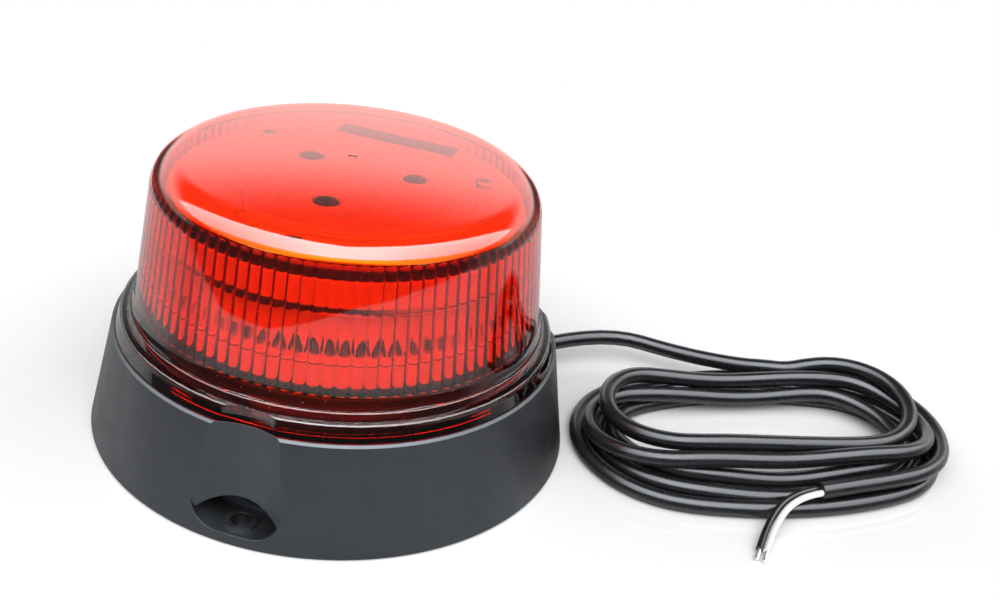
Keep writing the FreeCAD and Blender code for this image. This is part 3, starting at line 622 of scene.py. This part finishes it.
# The red of the lens: its mottling, its painted shade, the plain tint of its reflections and the tint of a
# painted orange highlight in them, what a depth of it lets through, and dust specks on it
RED_DARK, RED_LIGHT, LENS_PAINTED_SHADE = (0.99, 0.36, 0.30), (1.0, 0.42, 0.35), (0.30, 0.05, 0.04)
PLAIN_TINT, PAINTED_GLOW_TINT = (1.0, 1.0, 1.0), (1.0, 0.40, 0.02)
RED_DEPTH, RED_DENSITY, RED_MOTTLE = (0.988, 0.80, 0.30), 1720.0, 25.0
SPECKS_PER_METRE, SPECK_EDGE, SPECK_ROUGH = 420.0, (0.05, 0.09), 0.45
POLYCARBONATE_IOR = 1.585


def place(tree):
    """Height in millimetres and turn in rib pitches of the shaded point."""
    where = tree.nodes.new("ShaderNodeTexCoord")
    split = tree.nodes.new("ShaderNodeSeparateXYZ")
    link(tree, where.outputs["Object"], split.inputs[0])
    x, y, z = split.outputs
    pitch = product(tree, maths(tree, "ARCTAN2", y, x), RIB_COUNT / (2 * math.pi))
    return product(tree, z, 1 / MM), pitch


def rising(tree, value, span, level=1.0):
    """Mask that rises from 0 to a level over a span."""
    return mapped(tree, value, 0.0, level, *span)


def falling(tree, value, span):
    """Mask that falls from 1 to 0 over a span."""
    return mapped(tree, value, 1.0, 0.0, *span)


def band(tree, value, start, end, level=1.0):
    """Mask between two spans."""
    return product(tree, rising(tree, value, start, level), falling(tree, value, end))


def ahead(tree, pitch, reach):
    """Mask round the front, by the share of a turn from it."""
    turn = maths(tree, "ABSOLUTE", maths(tree, "ADD", pitch, RIB_COUNT / 4))
    return falling(tree, turn, (RIB_COUNT * reach[0], RIB_COUNT * reach[1]))


def off_middle(tree, pitch):
    """Distance from the middle of a rib, in pitches."""
    return maths(tree, "ABSOLUTE", maths(tree, "SUBTRACT", maths(tree, "FRACT", pitch), 0.5))


def cap_shade(tree):
    """Painted shade on the cap: a toothed shadow along its lower edge, a thin shaded line, a shaded band
    round the rounding of its rim, and its level top painted darker than its walls.
    """
    z, pitch = place(tree)
    # Painted shadow under the cap's lower edge, toothed at each rib
    teeth = maths(tree, "ADD", z, product(tree, off_middle(tree, pitch), TOOTH_H))
    foot = product(tree, falling(tree, z, CAP_FOOT_END), rising(tree, teeth, CAP_TEETH_START))
    foot = product(tree, foot, ahead(tree, maths(tree, "ADD", pitch, CAP_FOOT_SHIFT), FRONT_FOOT))
    # Painted shaded line below it
    line = band(tree, z, CAP_LINE_START, CAP_LINE_END, LINE_LEVEL)
    line = product(tree, line, ahead(tree, pitch, FRONT_LINE))
    # Painted shade round the rounding of the rim, on the front only
    rim = product(tree, band(tree, z, CAP_RIM_START, CAP_RIM_END), ahead(tree, pitch, FRONT_HALF))
    # Painted shade on the level faces of the top
    facing = tree.nodes.new("ShaderNodeSeparateXYZ")
    link(tree, tree.nodes.new("ShaderNodeNewGeometry").outputs["Normal"], facing.inputs[0])
    level = rising(tree, facing.outputs[2], LEVEL_FACES)
    dark = product(tree, rising(tree, z, CAP_TOP_START, TOP_LEVEL), level)
    for stripe in (foot, line, rim):
        dark = maths(tree, "MAXIMUM", dark, stripe)
    return dark


def drum_shade(tree):
    """Painted shadow under the cap, and a painted dark arch of shade round each window."""
    z, pitch = place(tree)
    across = off_middle(tree, pitch)
    # Painted dark arch of shade round each window, reaching further than the window itself
    crown = maths(tree, "ADD", z, product(tree, maths(tree, "POWER", across, 2.0), ARCH_H))
    arch = product(tree, falling(tree, crown, ARCH_END), falling(tree, across, ARCH_SIDES),
                   rising(tree, z, ARCH_START), ahead(tree, pitch, FRONT_ARCHES))
    # Painted shadow under the cap over the drum's upper part, joined with the painted arches
    return maths(tree, "MAXIMUM", rising(tree, z, DRUM_UNDER_START), arch)


def foot_shade(tree):
    """Painted shade: the foot of the lower reflector painted dark as a shadowed gap, and a painted shaded
    line under its upper edge.
    """
    z = place(tree)[0]
    # Painted shaded line under the upper edge, and below the given height a painted dark foot
    line = band(tree, z, FOOT_LINE_START, FOOT_LINE_END, LINE_LEVEL)
    return maths(tree, "MAXIMUM", falling(tree, z, FOOT_END), line)


def shaded(material, dark):
    """Paint shade into the base colour of a material where the mask is 1."""
    tree = material.node_tree
    socket = tree.nodes["Principled BSDF"].inputs["Base Color"]
    plain = socket.links[0].from_socket
    link(tree, mixed(tree, dark(tree), plain, PAINTED_SHADE_COLOUR), socket)
    return material


def red_lens():
    """Clear red polycarbonate with dust specks; round the rounding, a band of painted shade in its colour
    and a band of painted orange highlight in the tint of its reflections.
    """
    material, tree, shader = new_material("red_lens")
    z, pitch = place(tree)
    # Painted shade: a dark band in the lens's colour round the front of the rounding
    painted_dim = product(tree, band(tree, z, DIM_START, DIM_END), ahead(tree, pitch, FRONT_HALF))
    clear = mixed(tree, noise(tree, RED_MOTTLE), RED_DARK, RED_LIGHT)
    link(tree, mixed(tree, painted_dim, clear, LENS_PAINTED_SHADE), shader.inputs["Base Color"])
    # Painted highlight: an orange tint on the reflections in a band just above the painted shade
    painted_glow = band(tree, z, GLOW_START, GLOW_END)
    link(tree, mixed(tree, painted_glow, PLAIN_TINT, PAINTED_GLOW_TINT), shader.inputs["Specular Tint"])
    shader.inputs["Transmission Weight"].default_value = 1.0
    shader.inputs["IOR"].default_value = POLYCARBONATE_IOR
    where = tree.nodes.new("ShaderNodeTexCoord")
    specks = tree.nodes.new("ShaderNodeTexVoronoi")
    specks.inputs["Scale"].default_value = SPECKS_PER_METRE
    link(tree, where.outputs["Object"], specks.inputs["Vector"])
    rough = mapped(tree, specks.outputs["Distance"], SPECK_ROUGH, 0.0, *SPECK_EDGE)
    link(tree, rough, shader.inputs["Roughness"])
    depth = tree.nodes.new("ShaderNodeVolumeAbsorption")
    depth.inputs["Color"].default_value = (*RED_DEPTH, 1)
    depth.inputs["Density"].default_value = RED_DENSITY
    link(tree, depth.outputs["Volume"], tree.nodes["Material Output"].inputs["Volume"])
    return material


# Materials: a dark and a light colour and a span of roughness each
BLACK = plastic("base_black", (0.006, 0.0065, 0.0075), (0.009, 0.0095, 0.0105), (0.38, 0.48), edge=0.18,
                gloss=0.68, tint=(0.82, 0.90, 1.0))
LENS = red_lens()
REFLECTOR = ((0.88, 0.88, 0.86), (0.93, 0.93, 0.91), (0.25, 0.35), 900.0, 0.05, 0.05, 0.6)
WHITE = plastic("reflector_white", *REFLECTOR)
# The white plastic of the reflectors, with painted shade on the cap, the drum and the lower reflector's
# foot
CAP = shaded(plastic("cap_white_painted_shade", *REFLECTOR), cap_shade)
DRUM = shaded(plastic("drum_white_painted_shade", *REFLECTOR), drum_shade)
FOOT = shaded(plastic("foot_white_painted_shade", *REFLECTOR), foot_shade)
RUBBER = plastic("rubber", (0.012, 0.012, 0.012), (0.022, 0.022, 0.022), (0.55, 0.7))
SHEATH = plastic("cable_sheath", (0.006, 0.006, 0.007), (0.010, 0.010, 0.011), (0.24, 0.32), 1500.0, 0.1,
                 0.02, gloss=0.42, tint=(0.90, 0.94, 1.0))
CORE_BLACK = plastic("core_black", (0.004, 0.004, 0.006), (0.008, 0.008, 0.010), (0.25, 0.35), bump=0.05,
                     gloss=0.35)
CORE_WHITE = plastic("core_white", (0.68, 0.68, 0.675), (0.75, 0.75, 0.74), (0.3, 0.4), bump=0.05)
TIN = metal("tin", (0.60, 0.59, 0.57), (0.72, 0.71, 0.69), (0.2, 0.35))
STEEL = metal("steel", (0.35, 0.35, 0.36), (0.5, 0.5, 0.5), (0.3, 0.45))
DARK_STEEL = metal("dark_steel", (0.02, 0.02, 0.022), (0.05, 0.05, 0.052), (0.35, 0.5))
ALUMINIUM = metal("aluminium", (0.72, 0.72, 0.72), (0.82, 0.82, 0.82), (0.3, 0.45))
LABEL = plastic("label", (0.02, 0.02, 0.024), (0.035, 0.035, 0.04), (0.35, 0.45), bump=0.05)
BOARD = plastic("board", (0.01, 0.10, 0.04), (0.02, 0.16, 0.06), (0.3, 0.45), bump=0.05)
FERRITE = plastic("ferrite", (0.04, 0.04, 0.042), (0.07, 0.07, 0.07), (0.5, 0.65))
PHOSPHOR = plastic("phosphor", (0.80, 0.55, 0.12), (0.88, 0.66, 0.2), (0.3, 0.4), bump=0.05)
GREEN = plastic("terminal_green", (0.03, 0.25, 0.07), (0.05, 0.33, 0.1), (0.35, 0.45))
RED_WIRE = plastic("red_wire", (0.45, 0.02, 0.02), (0.6, 0.04, 0.03), (0.35, 0.45))

finishes = {
    "base_housing": BLACK, "bottom_cover": BLACK, "lens_dome": LENS, "lens_seal": RUBBER,
    "upper_reflector": CAP, "reflector_drum": DRUM, "lower_reflector": FOOT, "heat_sink": ALUMINIUM,
    "led_board": WHITE, "led_packages": PHOSPHOR, "tower_screws": STEEL, "cap_screws": DARK_STEEL,
    "label_strip": LABEL, "driver_board": BOARD, "board_screws": STEEL, "capacitors": FERRITE,
    "inductor": FERRITE, "driver_chips": RUBBER, "terminal_block": GREEN, "led_wires": RED_WIRE,
    "cover_seal": RUBBER, "cover_screws": STEEL, "vent_plug": RUBBER, "cable_grommet": RUBBER,
    "inner_lead": SHEATH, "inner_cores": CORE_WHITE, "cable_lead": SHEATH, "cable_coil": SHEATH,
    "cable_tail": SHEATH, "core_black": CORE_BLACK, "core_white": CORE_WHITE, "core_tips": TIN,
}
pieces = [(nodes[name], material) for name, material in finishes.items()]
pieces += [(cable, SHEATH), (core_black, CORE_BLACK), (core_white, CORE_WHITE), (tips, TIN), (lens, LENS)]


def finish_with(piece, material):
    """Give a piece one material in all its slots."""
    if not piece.material_slots:
        piece.data.materials.append(material)
    for slot in piece.material_slots:
        slot.material = material


for piece, material in pieces:
    finish_with(piece, material)

# Studio, in metres
# Outline of the floor: azimuth from the left in radians, and reach from the beacon's axis
FLOOR_SIDES = 96
FLOOR_TURNS = (0.0, 0.17, 0.56, 1.0, 1.7, 2.3, 3.6, 5.8, 6.3)
FLOOR_REACHES = (0.30, 0.262, 0.228, 0.238, 0.295, 0.31, 0.36, 0.36, 0.30)
# Tones of the floor: beside the beacon, the same place painted darker as mirrors show it, further to the
# front and back, and a painted shadow under the base
TONE_BESIDE, TONE_PAINTED_IN_MIRRORS = (0.90, 0.907, 0.915), (0.46, 0.465, 0.47)
TONE_FAR, TONE_PAINTED_SHADOW = (0.95, 0.955, 0.96), (0.01, 0.01, 0.01)
BESIDE_Y, BESIDE_EDGE, PAINTED_SHADOW_EDGE = 0.08, (0.13, 0.19), (0.069, 0.0705)
# Strengths of the world's parts in mirrors, and the shares of the soft box and of all that light the object
SOFT_BOX, BACKDROP, SIDES, AMBIENT = 16.0, 2.0, 0.5, 0.12
BOX_GIVEN, ALL_GIVEN = 0.24, 0.6
# Where the world's parts start and end, in shares of a direction to the right, the back and the top
BOX_BACK, BOX_BACK_SLOPE, BOX_FRONT, BOX_FRONT_SLOPE = (-0.02, -0.08), 0.62, (-0.28, -0.22), 0.95
BOX_FOOT, BOX_ENDS, BOX_END_LEVEL = (0.38, 0.44), (0.15, 0.85), 0.4
BACKDROP_NEAR, BACKDROP_TOP = (-0.05, 0.3), (0.55, 0.37)
BACKDROP_FOOT, BACKDROP_MIDDLE = (0.02, 0.14), (0.36, 0.22)
SIDES_WIDE, SIDES_TOP, SIDES_NEAR, SIDES_RIGHT = (0.5, 0.85), (0.55, 0.3), (-0.4, -0.1), (-1.4, 0.9)


def floor():
    """Pale sheet, cut so that the lens mirrors its front edge, with the band beside the beacon painted
    darker in mirrors and a painted shadow under the base.
    """
    verts = []
    for k in range(FLOOR_SIDES):
        a = 2 * math.pi * k / FLOOR_SIDES
        reach = float(np.interp(a, FLOOR_TURNS, FLOOR_REACHES))
        verts.append((-reach * math.cos(a), -reach * math.sin(a), 0))
    mesh = bpy.data.meshes.new("floor")
    mesh.from_pydata(verts, [], [tuple(range(len(verts)))])
    plane = bpy.data.objects.new("floor", mesh)
    scene.collection.objects.link(plane)
    material, tree, shader = new_material("floor")
    where = tree.nodes.new("ShaderNodeTexCoord")
    split = tree.nodes.new("ShaderNodeSeparateXYZ")
    link(tree, where.outputs["Object"], split.inputs[0])
    away = maths(tree, "ABSOLUTE", maths(tree, "SUBTRACT", split.outputs[1], BESIDE_Y))
    radius = tree.nodes.new("ShaderNodeVectorMath")
    radius.operation = "LENGTH"
    link(tree, where.outputs["Object"], radius.inputs[0])
    path = tree.nodes.new("ShaderNodeLightPath")
    # Painted reflection: beside the beacon the floor is darker where mirrors see it
    beside = mixed(tree, path.outputs["Is Glossy Ray"], TONE_BESIDE, TONE_PAINTED_IN_MIRRORS)
    sheet = mixed(tree, rising(tree, away, BESIDE_EDGE), beside, TONE_FAR)
    # Painted shadow: a dark disc under the base
    clear = rising(tree, radius.outputs["Value"], PAINTED_SHADOW_EDGE)
    link(tree, mixed(tree, clear, TONE_PAINTED_SHADOW, sheet), shader.inputs["Base Color"])
    shader.inputs["Roughness"].default_value = 0.06
    shader.inputs["Specular IOR Level"].default_value = 0.9
    mesh.materials.append(material)


def studio_world():
    """Backdrop and soft box, drawn by direction; what the camera sees straight is plain white."""
    world = bpy.data.worlds.new("studio")
    scene.world = world
    world.use_nodes = True
    tree = world.node_tree
    for node in list(tree.nodes):
        tree.nodes.remove(node)
    coord = tree.nodes.new("ShaderNodeTexCoord")
    split = tree.nodes.new("ShaderNodeSeparateXYZ")
    link(tree, coord.outputs["Generated"], split.inputs[0])
    x, y, z = split.outputs
    path = tree.nodes.new("ShaderNodeLightPath")
    glossy = path.outputs["Is Glossy Ray"]

    def ramp(value, span):
        """Soft step from 0 to 1 over a span."""
        node = tree.nodes.new("ShaderNodeMapRange")
        node.interpolation_type = "SMOOTHSTEP"
        node.inputs["From Min"].default_value = span[0]
        node.inputs["From Max"].default_value = span[1]
        link(tree, value, node.inputs["Value"])
        return node.outputs["Result"]

    wide = maths(tree, "ABSOLUTE", x)
    box_back = maths(tree, "SUBTRACT", y, product(tree, wide, BOX_BACK_SLOPE))
    box_front = maths(tree, "ADD", y, product(tree, z, BOX_FRONT_SLOPE))
    box_ends = mapped(tree, wide, 1.0, BOX_END_LEVEL, *BOX_ENDS)
    soft_box = product(tree, ramp(box_back, BOX_BACK), SOFT_BOX, ramp(box_front, BOX_FRONT),
                       ramp(z, BOX_FOOT), box_ends, mapped(tree, glossy, BOX_GIVEN, 1.0, 0.0, 1.0))
    above_foot = maths(tree, "MAXIMUM", ramp(z, BACKDROP_FOOT), ramp(wide, BACKDROP_MIDDLE))
    backdrop = product(tree, ramp(y, BACKDROP_NEAR), BACKDROP, ramp(z, BACKDROP_TOP), above_foot)
    sides = product(tree, ramp(wide, SIDES_WIDE), SIDES, ramp(z, SIDES_TOP), ramp(y, SIDES_NEAR),
                    ramp(x, SIDES_RIGHT))
    total = AMBIENT
    for part in (soft_box, backdrop, sides):
        total = maths(tree, "ADD", total, part)
    total = product(tree, total, mapped(tree, glossy, ALL_GIVEN, 1.0, 0.0, 1.0))
    around = tree.nodes.new("ShaderNodeBackground")
    link(tree, total, around.inputs["Strength"])
    plain = tree.nodes.new("ShaderNodeBackground")
    plain.inputs["Color"].default_value = (1, 1, 1, 1)
    mix = tree.nodes.new("ShaderNodeMixShader")
    link(tree, path.outputs["Is Camera Ray"], mix.inputs[0])
    link(tree, around.outputs[0], mix.inputs[1])
    link(tree, plain.outputs[0], mix.inputs[2])
    out = tree.nodes.new("ShaderNodeOutputWorld")
    link(tree, mix.outputs[0], out.inputs["Surface"])


def fill_lamp():
    """Wide lamp from the front that lights what lies behind the lens and isn't mirrored itself."""
    data = bpy.data.lights.new("fill", "AREA")
    data.shape = "RECTANGLE"
    data.size = 1.6
    data.size_y = 0.9
    data.energy = 11.0
    lamp = bpy.data.objects.new("fill", data)
    scene.collection.objects.link(lamp)
    lamp.location = (-0.1, -0.85, 0.85)
    lamp.rotation_euler = Vector((0.1, 0.85, -0.8)).to_track_quat("-Z", "Y").to_euler()
    lamp.visible_camera = False
    lamp.visible_glossy = False


floor()
fill_lamp()
studio_world()
scene.view_settings.view_transform = "Standard"
